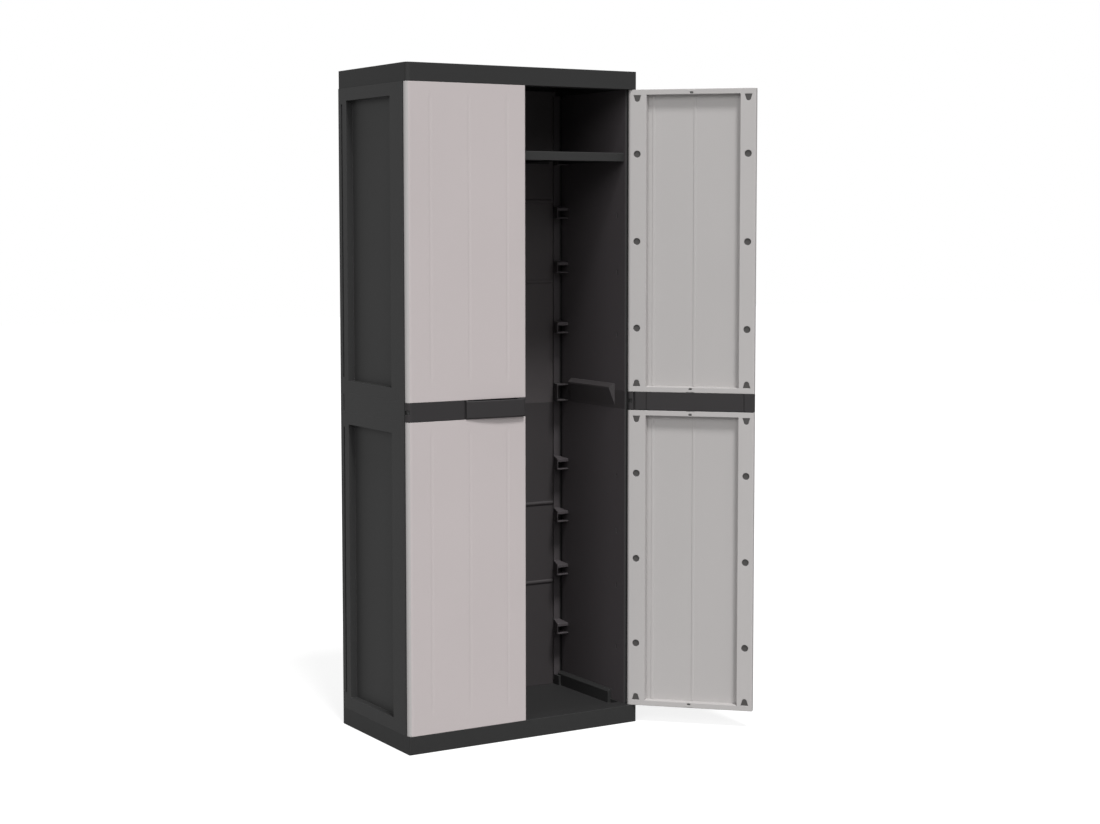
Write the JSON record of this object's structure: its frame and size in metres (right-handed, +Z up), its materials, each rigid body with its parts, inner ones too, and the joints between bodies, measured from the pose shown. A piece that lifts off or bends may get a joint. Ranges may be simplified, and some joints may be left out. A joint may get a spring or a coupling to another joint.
{
  "type": "garden storage cabinet",
  "caption": "Tall free-standing plastic cabinet with two hinged doors, one stood open, a full-width top shelf, a partition, half-width shelves and a tall tool space.",
  "frame": {"origin": "middle of the carcass footprint, on the ground", "axes": "+X to the right seen from the front, +Y to the back, +Z up; the doors are at -Y"},
  "size_m": [0.8694, 0.5879, 1.65],
  "materials": {
    "carcass_plastic": "fine satin moulded grain, charcoal",
    "cap_plastic": "fine satin moulded grain, charcoal",
    "shelf_plastic": "fine satin moulded grain, charcoal",
    "band_plastic": "fine satin moulded grain, charcoal",
    "door_skin_plastic": "smooth satin, warm light grey",
    "door_frame_plastic": "smooth satin, warm light grey",
    "rivet_plastic": "satin, dark grey",
    "pin_plastic": "satin, dark grey"
  },
  "bodies": {
    "cabinet": {"base_tray": "cap_plastic", "top_cap": "cap_plastic", "side_lower_left": "carcass_plastic", "side_lower_right": "carcass_plastic", "side_upper_left": "carcass_plastic", "side_upper_right": "carcass_plastic", "side_joiner_left": "carcass_plastic", "side_joiner_right": "carcass_plastic", "back_lower": "carcass_plastic", "back_upper": "carcass_plastic", "top_shelf": "shelf_plastic", "partition_lower": "carcass_plastic", "partition_upper": "carcass_plastic", "half_shelf_bottom": "shelf_plastic", "half_shelf_middle": "shelf_plastic", "half_shelf_top": "shelf_plastic"},
    "door_left": {"door_left_lower_shell": "door_skin_plastic", "door_left_lower_frame": "door_frame_plastic", "door_left_upper_shell": "door_skin_plastic", "door_left_upper_frame": "door_frame_plastic", "door_left_band": "band_plastic", "door_left_rivets": "rivet_plastic", "door_left_corner_clips": "rivet_plastic", "door_left_rim_clips": "rivet_plastic", "door_left_hinge_pin": "pin_plastic"},
    "door_right": {"door_right_lower_shell": "door_skin_plastic", "door_right_lower_frame": "door_frame_plastic", "door_right_upper_shell": "door_skin_plastic", "door_right_upper_frame": "door_frame_plastic", "door_right_band": "band_plastic", "door_right_rivets": "rivet_plastic", "door_right_corner_clips": "rivet_plastic", "door_right_rim_clips": "rivet_plastic", "door_right_hinge_pin": "pin_plastic"}
  },
  "joints": [
    {"name": "left_door_hinge", "type": "hinge", "parent": "cabinet", "child": "door_left", "pos_m": [-0.315, -0.175, 0.825], "axis": [0, 0, -1], "range_deg": [0, 135]},
    {"name": "right_door_hinge", "type": "hinge", "parent": "cabinet", "child": "door_right", "pos_m": [0.315, -0.175, 0.825], "axis": [0, 0, 1], "range_deg": [-135, 0]}
  ]
}
